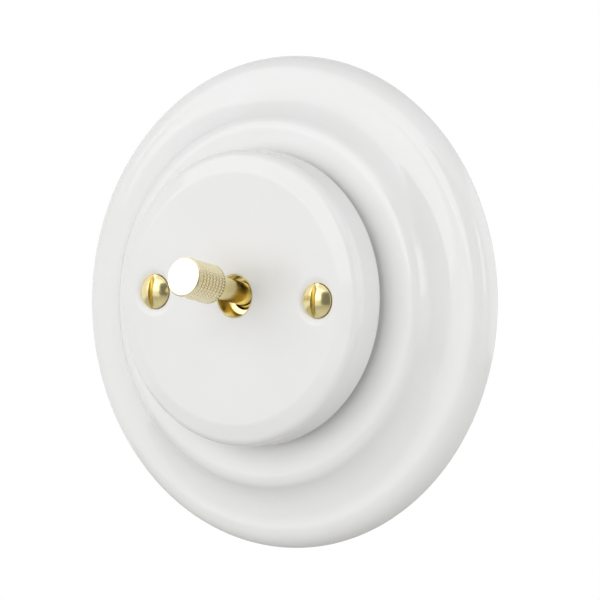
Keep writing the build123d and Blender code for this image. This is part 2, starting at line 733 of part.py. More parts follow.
with BuildPart() as centre_terminal:
    with BuildSketch(front_plane(-strip_depth)):
        Rectangle(2 * base_half, EAR_LENGTH)
    extrude(amount=-STRIP_THICKNESS)
    with BuildSketch(front_plane(-strip_depth)):
        with GridLocations(2 * ear_inner + EAR_THICKNESS, 0, 2, 1):
            Rectangle(EAR_THICKNESS, EAR_LENGTH)
    extrude(amount=strip_depth + ear_top)
    with BuildSketch(side_plane()):
        with Locations((0, -fulcrum_depth)):
            Circle(notch_radius)
        with Locations((0, EAR_RISE / 2 - fulcrum_depth)):
            Rectangle(2 * notch_radius, EAR_RISE)
    extrude(amount=base_half, both=True, mode=Mode.SUBTRACT)
    with BuildSketch(front_plane(-floor_depth)):
        with Locations((base_half - STRIP_THICKNESS / 2, 0)):
            Rectangle(STRIP_THICKNESS, CENTRE_LEG_LENGTH)
    extrude(amount=floor_depth - HOUSING_FLANGE_DEPTH)
    with BuildSketch(front_plane(-HOUSING_FLANGE_DEPTH)):
        with Locations((CENTRE_BLOCK_START + centre_block_width / 2, 0)):
            Rectangle(centre_block_width, BLOCK_WIDTH)
    extrude(amount=-block_depth)
    with BuildSketch(front_plane(-HOUSING_DEPTH)):
        with Locations((CENTRE_BLOCK_START + WIRE_OFFSET, 0)):
            Circle(WIRE_RADIUS)
    extrude(amount=WIRE_DEPTH, mode=Mode.SUBTRACT)
    with BuildSketch(Plane(origin=(centre_block_end, clamp_y, 0), x_dir=BACK, z_dir=RIGHT)):
        Circle(clamp_hole)
    extrude(amount=WIRE_OFFSET - centre_block_width, mode=Mode.SUBTRACT)
keep("centre_terminal", centre_terminal.part)

# Three slotted clamp screws, one square to each block's open side
clamp_places = (
    Plane(origin=(0, clamp_y, block_end), x_dir=RIGHT, z_dir=(0, 0, 1)),
    Plane(origin=(0, clamp_y, -block_end), x_dir=RIGHT, z_dir=(0, 0, -1)),
    Plane(origin=(centre_block_end, clamp_y, 0), x_dir=BACK, z_dir=RIGHT),
)
clamp_reach = BLOCK_LENGTH - WIRE_OFFSET - WIRE_RADIUS
head_start = CLAMP_HEAD_GAP

with BuildPart() as terminal_screws:
    for place in clamp_places:
        with BuildSketch(place.offset(head_start)):
            Circle(CLAMP_RADIUS)
        extrude(amount=-clamp_reach)
        with BuildSketch(place.offset(head_start)):
            Circle(CLAMP_HEAD_RADIUS)
        extrude(amount=CLAMP_HEAD)
        with BuildSketch(place.offset(head_start + CLAMP_HEAD)):
            Rectangle(2 * CLAMP_HEAD_RADIUS, CLAMP_SLOT_WIDTH)
        extrude(amount=-CLAMP_SLOT_DEPTH, mode=Mode.SUBTRACT)
keep("terminal_screws", terminal_screws.part)

# Housing: a neck through the plate, a flange behind it and a body with three open notches
notch_width = BLOCK_WIDTH + 2 * BLOCK_PLAY
end_notch = HOUSING_BODY_HEIGHT / 2 - BLOCK_START + BLOCK_PLAY
centre_notch = HOUSING_BODY_WIDTH / 2 - CENTRE_BLOCK_START + BLOCK_PLAY
end_leg = strip_end - STRIP_THICKNESS / 2
centre_leg = base_half - STRIP_THICKNESS / 2

with BuildPart() as switch_housing:
    with BuildSketch(front_plane(-HOUSING_FLANGE_DEPTH)):
        RectangleRounded(HOUSING_WIDTH, housing_height, HOUSING_CORNER)
    extrude(amount=HOUSING_FLANGE_DEPTH)
    with BuildSketch(front_plane(0)):
        RectangleRounded(NECK_WIDTH, NECK_LENGTH, HOUSING_CORNER)
    extrude(amount=NECK_HEIGHT)
    with BuildSketch(front_plane(-HOUSING_FLANGE_DEPTH)):
        Rectangle(HOUSING_BODY_WIDTH, HOUSING_BODY_HEIGHT)
    extrude(amount=-block_depth)
    with BuildSketch(front_plane(-HOUSING_FLANGE_DEPTH)):
        for side in SIDES:
            with Locations((0, side * (HOUSING_BODY_HEIGHT - end_notch) / 2)):
                Rectangle(notch_width, end_notch)
        with Locations(((HOUSING_BODY_WIDTH - centre_notch) / 2, 0)):
            Rectangle(centre_notch, notch_width)
    extrude(amount=-block_depth, mode=Mode.SUBTRACT)
    with BuildSketch(front_plane(NECK_HEIGHT)):
        Rectangle(CHAMBER_WIDTH, CHAMBER_LENGTH)
    extrude(amount=-NECK_HEIGHT - floor_depth, mode=Mode.SUBTRACT)
    with BuildSketch(front_plane(-floor_depth)):
        with GridLocations(0, 2 * end_leg, 1, 2):
            Rectangle(LEG_WIDTH + 2 * LEG_PLAY, STRIP_THICKNESS + 2 * LEG_PLAY)
        with Locations((centre_leg, 0)):
            Rectangle(STRIP_THICKNESS + 2 * LEG_PLAY, CENTRE_LEG_LENGTH + 2 * LEG_PLAY)
    extrude(amount=floor_depth - HOUSING_FLANGE_DEPTH, mode=Mode.SUBTRACT)
    with BuildSketch(front_plane(0)):
        with GridLocations(0, 2 * foot_screw_z, 1, 2):
            Circle(FOOT_SCREW_RADIUS + THREAD_PLAY)
    extrude(amount=-HOUSING_FLANGE_DEPTH, mode=Mode.SUBTRACT)
keep("switch_housing", switch_housing.part)

# Fibre shield over the chamber, with a slot for the lever's tail
slot_reach = swing(pivot_height - NECK_HEIGHT, TAIL_RADIUS) + SHIELD_SLOT_PLAY
slot_half_width = TAIL_RADIUS + SHIELD_SLOT_PLAY

with BuildPart() as arc_shield:
    with BuildSketch(front_plane(NECK_HEIGHT)):
        RectangleRounded(NECK_WIDTH, NECK_LENGTH, HOUSING_CORNER)
        Rectangle(2 * slot_half_width, 2 * slot_reach, mode=Mode.SUBTRACT)
    extrude(amount=SHIELD_THICKNESS)
keep("arc_shield", arc_shield.part)
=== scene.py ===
import logging
import math
from dataclasses import dataclass
from enum import Enum
from typing import Any, Callable, Optional, Sequence, Union

import bmesh
import bpy
from mathutils import Matrix, Vector


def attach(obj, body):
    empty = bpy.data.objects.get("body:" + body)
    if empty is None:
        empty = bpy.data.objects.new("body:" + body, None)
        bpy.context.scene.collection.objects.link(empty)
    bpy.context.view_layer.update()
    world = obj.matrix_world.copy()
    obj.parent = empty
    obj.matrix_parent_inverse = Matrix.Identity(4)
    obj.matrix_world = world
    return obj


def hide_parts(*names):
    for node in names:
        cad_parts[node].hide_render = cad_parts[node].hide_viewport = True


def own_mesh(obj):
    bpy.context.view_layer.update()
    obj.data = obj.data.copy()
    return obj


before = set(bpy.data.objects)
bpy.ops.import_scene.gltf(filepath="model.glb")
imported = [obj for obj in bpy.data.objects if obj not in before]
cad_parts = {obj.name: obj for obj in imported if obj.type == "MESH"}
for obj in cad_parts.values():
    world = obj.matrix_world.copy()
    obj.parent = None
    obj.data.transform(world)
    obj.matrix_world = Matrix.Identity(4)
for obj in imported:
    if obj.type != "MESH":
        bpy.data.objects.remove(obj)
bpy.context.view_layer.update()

# A round porcelain toggle switch with a brass lever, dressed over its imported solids.
# Sizes are millimetres until a mesh is made. A height is a distance in front of the wall.
# Points nearer than WELD are one point. An edge that turns by more than CREASE degrees stays
# sharp to the eye, and one that turns by more than BEVEL_ANGLE is broken.

MM = 0.001
WELD = 0.0005
CREASE = 32.0
BEVEL_ANGLE = 40.0
WHITE = "FFFFFF"
LOG = logging.getLogger("porcelain_switch")


class Body(Enum):
    """The moving bodies that a piece can ride on."""

    BASE = "base"
    LEVER = "lever"
    PLUNGER = "plunger"
    ROCKER = "rocker"


class Slot(Enum):
    """The record's finish slots, one listed with each new piece."""

    PORCELAIN = "porcelain"
    POLISHED_BRASS = "polished_brass"
    KNURLED_BRASS = "knurled_brass"
    PLAIN_BRASS = "plain_brass"
    ZINC_STEEL = "zinc_steel"
    BRIGHT_STEEL = "bright_steel"
    MOULDING = "moulding"
    FIBRE = "fibre"


def linear(colour: str) -> tuple[float, float, float, float]:
    """Turn an sRGB hex colour into linear light.

    Args:
        colour: Six hex digits.

    Returns:
        Red, green, blue and a full alpha.
    """
    channels = [int(colour[i:i + 2], 16) / 255 for i in (0, 2, 4)]
    light = [c / 12.92 if c <= 0.04045 else ((c + 0.055) / 1.055) ** 2.4 for c in channels]
    return (light[0], light[1], light[2], 1.0)


def add_node(
    tree: bpy.types.NodeTree,
    kind: str,
    settings: Optional[dict[Any, Any]] = None,
    links: Optional[dict[Any, bpy.types.NodeSocket]] = None,
) -> bpy.types.Node:
    """Add one node with its settings and links.

    Args:
        tree: The node tree that gets it.
        kind: Blender's name of the node type.
        settings: Values by input name, input number or property name.
        links: Output sockets by input name or number.

    Returns:
        The new node.
    """
    node = tree.nodes.new(kind)
    for key, value in (settings or {}).items():
        if isinstance(key, int) or key in node.inputs:
            node.inputs[key].default_value = value
        else:
            setattr(node, key, value)
    for key, socket in (links or {}).items():
        tree.links.new(socket, node.inputs[key])
    return node


def per_metre(size: float) -> float:
    """Texture scale at which one cell of a pattern measures this many millimetres."""
    return 1 / (size * MM)


@dataclass(frozen=True)
class Finish:
    """A real surface: its colours, gloss and fine relief, all made from Object coordinates.

    Mottle, relief and relief_depth are the millimetres of one cloud, one grain and its height.
    """

    name: str
    colour: str
    second: str
    roughness: float
    roughness_spread: float
    metallic: float
    mottle: float
    relief: float
    relief_depth: float
    stretch: tuple[float, float, float] = (1.0, 1.0, 1.0)
    ior: Optional[float] = None
    shade_range: tuple[float, float] = (0.32, 0.68)

    def material(self) -> bpy.types.Material:
        """Build the finish, or hand back the one already built.

        Returns:
            The material.
        """
        made = bpy.data.materials.get(self.name)
        if made:
            return made
        made = bpy.data.materials.new(self.name)
        made.use_nodes = True
        tree = made.node_tree
        shader = tree.nodes["Principled BSDF"]
        shader.inputs["Metallic"].default_value = self.metallic
        if self.ior:
            shader.inputs["IOR"].default_value = self.ior
        place = add_node(tree, "ShaderNodeTexCoord")
        turned = add_node(
            tree, "ShaderNodeMapping", {"Scale": self.stretch}, {"Vector": place.outputs["Object"]}
        )
        patches = add_node(
            tree,
            "ShaderNodeTexNoise",
            {"Scale": per_metre(self.mottle), "Detail": 4.0, "Roughness": 0.55},
            {"Vector": place.outputs["Object"]},
        )
        shades = add_node(tree, "ShaderNodeValToRGB", {}, {"Fac": patches.outputs["Fac"]})
        stops = zip(shades.color_ramp.elements, self.shade_range, (self.second, self.colour))
        for stop, position, shade in stops:
            stop.position = position
            stop.color = linear(shade)
        gloss = add_node(
            tree,
            "ShaderNodeMapRange",
            {"To Min": self.roughness + self.roughness_spread, "To Max": self.roughness},
            {"Value": patches.outputs["Fac"]},
        )
        grain = add_node(
            tree,
            "ShaderNodeTexNoise",
            {"Scale": per_metre(self.relief), "Detail": 3.0, "Roughness": 0.5},
            {"Vector": turned.outputs["Vector"]},
        )
        bump = add_node(
            tree,
            "ShaderNodeBump",
            {"Strength": 1.0, "Distance": self.relief_depth * MM},
            {"Height": grain.outputs["Fac"]},
        )
        tree.links.new(shades.outputs["Color"], shader.inputs["Base Color"])
        tree.links.new(gloss.outputs["Result"], shader.inputs["Roughness"])
        tree.links.new(bump.outputs["Normal"], shader.inputs["Normal"])
        return made


# Feldspar glaze fired on hard porcelain: a glassy white skin with a slow ripple where it flowed
GLAZE = Finish(
    "glazed_porcelain", "EFEFEF", "EDEDEC", roughness=0.06, roughness_spread=0.03, metallic=0.0,
    mottle=14.0, relief=6.0, relief_depth=0.004, ior=1.52,
)
# Bare fired porcelain where the piece stood in the kiln: chalky, a little cream, no gloss
BISCUIT = Finish(
    "biscuit_porcelain", "E6E2D8", "DCD7CB", roughness=0.72, roughness_spread=0.1, metallic=0.0,
    mottle=5.0, relief=0.35, relief_depth=0.03,
)
# Turned brass, polished on the wheel and lacquered: pale gold with faint clouding in the lacquer
POLISHED = Finish(
    "lacquered_brass", "EFE2B0", "E8D99F", roughness=0.19, roughness_spread=0.06, metallic=1.0,
    mottle=1.6, relief=0.25, relief_depth=0.0012,
)
# Rolled knurl: the crests are burnished and the cut flanks stay a little dull
KNURLED = Finish(
    "burnished_brass", "F4EBCF", "EADFB8", roughness=0.16, roughness_spread=0.1, metallic=1.0,
    mottle=0.5, relief=0.12, relief_depth=0.003,
)
# Machined brass straight from the tool: cutting lines along the bar, drawn coarse enough to show
MACHINED = Finish(
    "machined_brass", "D9BE7E", "C4A561", roughness=0.26, roughness_spread=0.14, metallic=1.0,
    mottle=2.5, relief=0.3, relief_depth=0.006, stretch=(1.0, 8.0, 1.0),
)
# Bright zinc plate on rolled steel strip: bluish grey with a cloudy bloom
ZINC = Finish(
    "zinc_plated_steel", "C9CCD0", "AEB2B8", roughness=0.3, roughness_spread=0.16, metallic=1.0,
    mottle=3.5, relief=0.5, relief_depth=0.008,
)
# Hard drawn steel wire and pin stock: die lines along its length, drawn coarse enough to show
DRAWN = Finish(
    "drawn_steel", "CFCFD0", "B4B4B6", roughness=0.22, roughness_spread=0.12, metallic=1.0,
    mottle=1.2, relief=0.15, relief_depth=0.003, stretch=(0.2, 1.0, 1.0),
)
# Black phenolic moulding: a satin pressed skin with a fine filler speckle
PHENOLIC = Finish(
    "phenolic_moulding", "2B2726", "211D1C", roughness=0.38, roughness_spread=0.14, metallic=0.0,
    mottle=0.9, relief=0.4, relief_depth=0.012,
)
# Vulcanised red fibre sheet: matt, with short pressed fibres along the roll
FIBRE = Finish(
    "vulcanised_fibre", "8A4334", "73352A", roughness=0.62, roughness_spread=0.12, metallic=0.0,
    mottle=0.8, relief=0.25, relief_depth=0.015, stretch=(1.0, 1.0, 0.25),
)
# Fine silver contact faces, coined smooth with a light grey bloom
SILVER_FACE = Finish(
    "coined_silver", "DEDDD9", "C2C0BC", roughness=0.18, roughness_spread=0.16, metallic=1.0,
    mottle=0.6, relief=0.2, relief_depth=0.003,
)
# Grey flock on board: quite dull, so that it only darkens what metal mirrors
FLOCK = Finish(
    "flocked_card", "9C9A96", "8E8C88", roughness=0.9, roughness_spread=0.05, metallic=0.0,
    mottle=8.0, relief=0.5, relief_depth=0.05,
)
# Painted floor: pale warm grey with a slight roller texture
FLOOR_PAINT = Finish(
    "painted_floor", "CFCECA", "CDCCC8", roughness=0.6, roughness_spread=0.1, metallic=0.0,
    mottle=60.0, relief=4.0, relief_depth=0.05,
)


def deselect_all() -> None:
    """Leave nothing selected, because an operator acts on all that is."""
    if bpy.context.object and bpy.context.object.mode != "OBJECT":
        bpy.ops.object.mode_set(mode="OBJECT")
    bpy.ops.object.select_all(action="DESELECT")


def take(piece: bpy.types.Object) -> None:
    """Make one object the only selected and the active one.

    Args:
        piece: The object.
    """
    deselect_all()
    piece.select_set(True)
    bpy.context.view_layer.objects.active = piece


def apply_place(piece: bpy.types.Object) -> None:
    """Put an object's place, turn and scale into its mesh."""
    take(piece)
    bpy.ops.object.transform_apply(location=True, rotation=True, scale=True)


def clean(piece: bpy.types.Object, crease: float = CREASE) -> None:
    """Merge doubles, point the faces outwards and smooth all but the edges.

    Args:
        piece: The mesh object.
        crease: Edges that turn by more than this many degrees stay sharp.
    """
    take(piece)
    bpy.ops.object.mode_set(mode="EDIT")
    bpy.ops.mesh.select_all(action="SELECT")
    bpy.ops.mesh.remove_doubles(threshold=WELD * MM)
    bpy.ops.mesh.normals_make_consistent(inside=False)
    bpy.ops.object.mode_set(mode="OBJECT")
    bpy.ops.object.shade_smooth_by_angle(angle=math.radians(crease))


def choose_edges(piece: bpy.types.Object, wanted: Callable[[bmesh.types.BMEdge], bool]) -> None:
    """Select only the edges that pass a test, in edit mode.

    Args:
        piece: The mesh object that is being edited.
        wanted: The test, by an edge's place.
    """
    bpy.ops.mesh.select_mode(type="EDGE")
    bpy.ops.mesh.select_all(action="DESELECT")
    shape = bmesh.from_edit_mesh(piece.data)
    for edge in shape.edges:
        if wanted(edge):
            edge.select_set(True)
    bmesh.update_edit_mesh(piece.data)


def modify(piece: bpy.types.Object, kind: str, **settings: Any) -> None:
    """Add a modifier, set it and apply it.

    Args:
        piece: The mesh object.
        kind: Blender's name of the modifier type.
        settings: Values of the modifier's properties.
    """
    take(piece)
    bpy.ops.object.modifier_add(type=kind)
    modifier = piece.modifiers[-1]
    for key, value in settings.items():
        setattr(modifier, key, value)
    bpy.ops.object.modifier_apply(modifier=modifier.name)


def cut(piece: bpy.types.Object, tool: bpy.types.Object) -> None:
    """Take one solid out of another and drop the tool."""
    modify(piece, "BOOLEAN", operation="DIFFERENCE", solver="EXACT", object=tool)
    bpy.data.objects.remove(tool)


def break_edges(piece: bpy.types.Object, width: float, angle: float = BEVEL_ANGLE) -> None:
    """Round the sharp edges of a piece.

    Args:
        piece: The mesh object.
        width: How wide the rounding is.
        angle: Edges that turn by more than this many degrees are rounded.
    """
    modify(
        piece, "BEVEL", width=width * MM, segments=2, limit_method="ANGLE",
        angle_limit=math.radians(angle),
    )


def flatten_shading(piece: bpy.types.Object) -> None:
    """Let the large faces rule the shading, so that a flat face looks flat up to its edges."""
    modify(piece, "WEIGHTED_NORMAL", keep_sharp=True, weight=100)


def dress(
    piece: bpy.types.Object, finish: Finish, body: Body, slot: Slot, *nodes: str
) -> bpy.types.Object:
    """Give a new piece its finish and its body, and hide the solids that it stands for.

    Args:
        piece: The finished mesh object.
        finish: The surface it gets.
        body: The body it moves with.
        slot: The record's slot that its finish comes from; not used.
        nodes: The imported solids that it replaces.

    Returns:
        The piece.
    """
    piece.data.materials.clear()
    piece.data.materials.append(finish.material())
    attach(piece, body.value)
    if nodes:
        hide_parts(*nodes)
    return piece


@dataclass(frozen=True)
class Run:
    """A straight run of a turned profile, to this radius and height."""

    radius: float
    height: float
    steps: int = 1


@dataclass(frozen=True)
class Arc:
    """A rounded run about this centre, anticlockwise where radius goes across and height up."""

    radius: float
    height: float
    turn: float
    steps: int = 8


Profile = Sequence[Union[Run, Arc]]


def turn(
    name: str,
    start: tuple[float, float],
    profile: Profile,
    around: int,
    centre: tuple[float, float] = (0.0, 0.0),
) -> bpy.types.Object:
    """Draw a half section by extruding a vertex, then spin it about an axis square to the wall.

    Args:
        name: The piece's name.
        start: Radius and height of the first point.
        profile: The runs and arcs that follow, back to the start or to the axis.
        around: Steps in the full turn.
        centre: X and Z of the axis.

    Returns:
        The turned object, at the origin, with its place in its mesh.
    """
    deselect_all()
    cx, cz = centre
    radius, height = start
    bpy.ops.mesh.primitive_plane_add(
        size=MM, location=((cx + radius) * MM, -height * MM, cz * MM)
    )
    piece = bpy.context.object
    piece.name = name
    piece.data.name = name
    bpy.ops.object.mode_set(mode="EDIT")
    bpy.ops.mesh.select_all(action="SELECT")
    bpy.ops.mesh.merge(type="CENTER")
    for run in profile:
        if isinstance(run, Arc):
            swing = math.radians(run.turn)
            bpy.ops.mesh.spin(
                steps=run.steps,
                angle=swing,
                center=((cx + run.radius) * MM, -run.height * MM, cz * MM),
                axis=(0, 0, 1),
            )
            across, up = radius - run.radius, height - run.height
            radius = run.radius + across * math.cos(swing) - up * math.sin(swing)
            height = run.height + across * math.sin(swing) + up * math.cos(swing)
            continue
        step = ((run.radius - radius) / run.steps * MM, (height - run.height) / run.steps * MM, 0)
        for _ in range(run.steps):
            bpy.ops.mesh.extrude_vertices_move(TRANSFORM_OT_translate={"value": step})
        radius, height = run.radius, run.height
    bpy.ops.mesh.select_all(action="SELECT")
    bpy.ops.mesh.spin(
        steps=around, angle=2 * math.pi, center=(cx * MM, 0, cz * MM), axis=(0, 1, 0)
    )
    bpy.ops.object.mode_set(mode="OBJECT")
    apply_place(piece)
    clean(piece)
    return piece


@dataclass
class Lever:
    """Where the lever turns and how it stands at rest."""

    pivot_height: float = 15.5
    tilt: float = 9.6
    drill_sides: int = 32

    def place(self, piece: bpy.types.Object) -> None:
        """Tilt a piece that was made about the wall's axis and set it on the pivot.

        Args:
            piece: The turned or modelled piece, with the pivot at the origin.
        """
        piece.rotation_euler = (-math.radians(self.tilt), 0, 0)
        piece.location = (0, -self.pivot_height * MM, 0)
        apply_place(piece)

    def pin_tool(self, radius: float, length: float) -> bpy.types.Object:
        """Make the drill for the pivot pin's hole.

        Args:
            radius: The hole's radius.
            length: The drill's length, across the switch.

        Returns:
            The drill.
        """
        deselect_all()
        bpy.ops.mesh.primitive_cylinder_add(
            vertices=self.drill_sides,
            radius=radius * MM,
            depth=length * MM,
            location=(0, -self.pivot_height * MM, 0),
            rotation=(0, math.pi / 2, 0),
        )
        return bpy.context.object


@dataclass
class PorcelainFrame:
    """The outer ring: rounded rim, hollow cove, soft shoulder and the flat step."""

    radius: float = 52.0
    drop: float = 1.2
    foot_round: float = 0.3
    rim_round: float = 4.6
    rim_foot: float = 5.0
    cove_round: float = 10.4
    shoulder_round: float = 3.6
    step: float = 10.4
    wall: float = 4.2
    opening: float = 26.629
    opening_round: float = 0.4
    back_facing: float = 0.3
    around: int = 480

    def build(self) -> bpy.types.Object:
        """Turn the ring and leave its back unglazed.

        Returns:
            The ring.
        """
        foot_edge = self.radius - self.foot_round
        mouth = self.opening + self.opening_round
        crest = self.radius - self.rim_round
        cove_height = self.foot_round + self.rim_round + self.cove_round
        fall = cove_height - self.step + self.shoulder_round
        reach = math.sqrt((self.cove_round + self.shoulder_round) ** 2 - fall**2)
        slope = math.degrees(math.atan2(fall, reach))
        back = self.cove_round + self.wall
        back_height = self.step - self.wall
        back_slope = math.degrees(math.asin((cove_height - back_height) / back))
        inner = self.radius - self.rim_foot
        foot_slope = math.degrees(math.asin((crest - inner) / back))
        back_start = crest - back * math.cos(math.radians(back_slope))
        ring = turn(
            "porcelain_ring",
            (foot_edge, 0),
            (
                Arc(foot_edge, self.foot_round, 90, steps=4),
                Arc(crest, self.foot_round, 90, steps=28),
                Arc(crest, cove_height, slope - 90, steps=28),
                Arc(crest - reach, self.step - self.shoulder_round, 90 - slope, steps=18),
                Run(mouth, self.step, steps=6),
                Arc(mouth, self.step - self.opening_round, 90, steps=5),
                Run(self.opening, back_height, steps=2),
                Run(back_start, back_height, steps=3),
                Arc(crest, cove_height, 90 - back_slope - foot_slope, steps=16),
                Run(inner, 0, steps=2),
                Run(foot_edge, 0, steps=2),
            ),
            self.around,
            (0, -self.drop),
        )
        dress(ring, GLAZE, Body.BASE, Slot.PORCELAIN, "outer_frame")
        ring.data.materials.append(BISCUIT.material())
        for face in ring.data.polygons:
            reach_out = math.hypot(face.center.x, face.center.z + self.drop * MM)
            behind = face.normal.y > self.back_facing and reach_out < foot_edge * MM
            face.material_index = 1 if behind else 0
        return ring


@dataclass
class PorcelainCover:
    """The cover: flat front, sloping edge, overhanging lip, spigot and three holes."""

    radius: float = 30.95
    drop: float = 0.4
    height: float = 21.2
    foot: float = 28.65
    step: float = 10.4
    lip: float = 12.2
    lip_round: float = 0.6
    lip_fillet: float = 0.5
    face: float = 26.0
    face_round: float = 3.5
    edge_slope: float = 17.0
    edge_round: float = 2.4
    hole: float = 4.56
    hole_round: float = 0.2
    collar: float = 7.3
    collar_top: float = 17.4
    ceiling: float = 16.0
    cavity: float = 23.779
    spigot: float = 25.779
    spigot_end: float = 7.0
    screw_x: float = 20.875
    screw_mouth: float = 3.72
    mouth_width: float = 1.7
    mouth_round: float = 3.0
    screw_seat: float = 19.4
    screw_hole: float = 2.1
    tool_lift: float = 0.004
    tool_reach: float = 1.0
    mouth_around: int = 128
    hub_around: int = 160
    around: int = 400

    def mouth_tool(self, side: int) -> bpy.types.Object:
        """Turn the tool that shapes one screw's trumpet mouth.

        Args:
            side: -1 for the left screw, 1 for the right one.

        Returns:
            The tool.
        """
        low, high = self.ceiling - self.tool_reach, self.height + self.tool_reach
        centre = self.height + self.tool_lift - self.mouth_round
        outer = self.screw_mouth + self.mouth_width
        flare = math.asin(self.mouth_width / self.mouth_round)
        return turn(
            "mouth_tool",
            (0, low),
            (
                Run(self.screw_hole, low),
                Run(self.screw_hole, self.screw_seat),
                Run(self.screw_mouth, self.screw_seat),
                Run(self.screw_mouth, centre + self.mouth_round * math.cos(flare)),
                Arc(outer, centre, -math.degrees(flare), steps=16),
                Run(outer, high),
                Run(0, high),
            ),
            self.mouth_around,
            (side * self.screw_x, 0),
        )

    def hub_tool(self) -> bpy.types.Object:
        """Turn the tool that shapes the bush's hole and the room for its collar.

        Returns:
            The tool.
        """
        low, high = self.ceiling - self.tool_reach, self.height + self.tool_reach
        top = self.height + self.tool_lift
        outer = self.hole + self.hole_round
        return turn(
            "hub_tool",
            (0, low),
            (
                Run(self.collar, low),
                Run(self.collar, self.collar_top),
                Run(self.hole, self.collar_top),
                Run(self.hole, top - self.hole_round),
                Arc(outer, top - self.hole_round, -90, steps=6),
                Run(outer, high),
                Run(0, high),
            ),
            self.hub_around,
        )

    def build(self) -> bpy.types.Object:
        """Turn the cover a little low, as it hangs, and cut its three holes.

        Returns:
            The cover.
        """
        slope = math.radians(self.edge_slope)
        lip_edge = self.radius - self.lip_round
        face_edge = self.face + self.face_round * math.sin(slope)
        edge_in = self.radius - self.edge_round
        run = edge_in - self.face + (self.edge_round - self.face_round) * math.sin(slope)
        face_fall = self.face_round * (1 - math.cos(slope))
        slope_end = self.height - face_fall - run * math.tan(slope)
        side_top = slope_end - self.edge_round * math.cos(slope)
        cover = turn(
            "porcelain_cover",
            (self.foot, self.step),
            (
                Run(self.foot, self.lip - self.lip_fillet, steps=2),
                Arc(self.foot + self.lip_fillet, self.lip - self.lip_fillet, -90, steps=6),
                Run(lip_edge, self.lip),
                Arc(lip_edge, self.lip + self.lip_round, 90, steps=8),
                Run(self.radius, side_top, steps=5),
                Arc(edge_in, side_top, 90 - self.edge_slope, steps=20),
                Run(face_edge, self.height - face_fall, steps=3),
                Arc(self.face, self.height - self.face_round, self.edge_slope, steps=8),
                Run(0, self.height),
                Run(0, self.ceiling),
                Run(self.cavity, self.ceiling),
                Run(self.cavity, self.spigot_end),
                Run(self.spigot, self.spigot_end),
                Run(self.spigot, self.step),
                Run(self.foot, self.step),
            ),
            self.around,
            (0, -self.drop),
        )
        for tool in (self.hub_tool(), self.mouth_tool(-1), self.mouth_tool(1)):
            cut(cover, tool)
        clean(cover)
        flatten_shading(cover)
        return dress(cover, GLAZE, Body.BASE, Slot.PORCELAIN, "centre_cover")


@dataclass
class CoverScrews:
    """Two domed brass screws with an upright slot."""

    spacing: float = 41.75
    seat: float = 19.4
    head: float = 3.6
    side: float = 1.7
    dome: float = 1.4
    shank: float = 1.75
    thread_depth: float = 0.25
    thread_pitch: float = 0.7
    length: float = 11.0
    slot_width: float = 1.2
    slot_depth: float = 1.6
    cutter: float = 4.0
    edge: float = 0.1
    around: int = 96

    def build(self) -> list[bpy.types.Object]:
        """Turn one screw, cut its slot and copy it to the other side.

        Returns:
            The left and the right screw.
        """
        dome_round = (self.head**2 + self.dome**2) / (2 * self.dome)
        half_turn = math.degrees(math.asin(self.head / dome_round))
        top = self.seat + self.side + self.dome
        end = self.seat - self.length
        root = self.shank - self.thread_depth
        threads: list[Run] = []
        turns = int((self.length - 2 * self.thread_pitch) / self.thread_pitch)
        for index in range(turns):
            foot = end + self.thread_pitch * (index + 0.5)
            threads.append(Run(root, foot))
            threads.append(Run(self.shank, foot + self.thread_pitch / 2))
        left = turn(
            "cover_screw_left",
            (0, end),
            (
                Run(root - self.thread_depth, end),
                *threads,
                Run(self.shank, self.seat),
                Run(self.head, self.seat),
                Run(self.head, self.seat + self.side, steps=2),
                Arc(0, top - dome_round, half_turn, steps=18),
            ),
            self.around,
            (-self.spacing / 2, 0),
        )
        deselect_all()
        bpy.ops.mesh.primitive_cube_add(
            size=1,
            location=(-self.spacing / 2 * MM, -(top - self.slot_depth + self.cutter / 2) * MM, 0),
            scale=(self.slot_width * MM, self.cutter * MM, self.cutter * self.head * MM),
        )
        cut(left, bpy.context.object)
        break_edges(left, self.edge)
        clean(left)
        right = left.copy()
        right.data = left.data.copy()
        right.name = "cover_screw_right"
        right.data.name = right.name
        bpy.context.scene.collection.objects.link(right)
        right.location = (self.spacing * MM, 0, 0)
        apply_place(right)
        for screw in (left, right):
            dress(screw, POLISHED, Body.BASE, Slot.POLISHED_BRASS, "cover_screws")
        return [left, right]


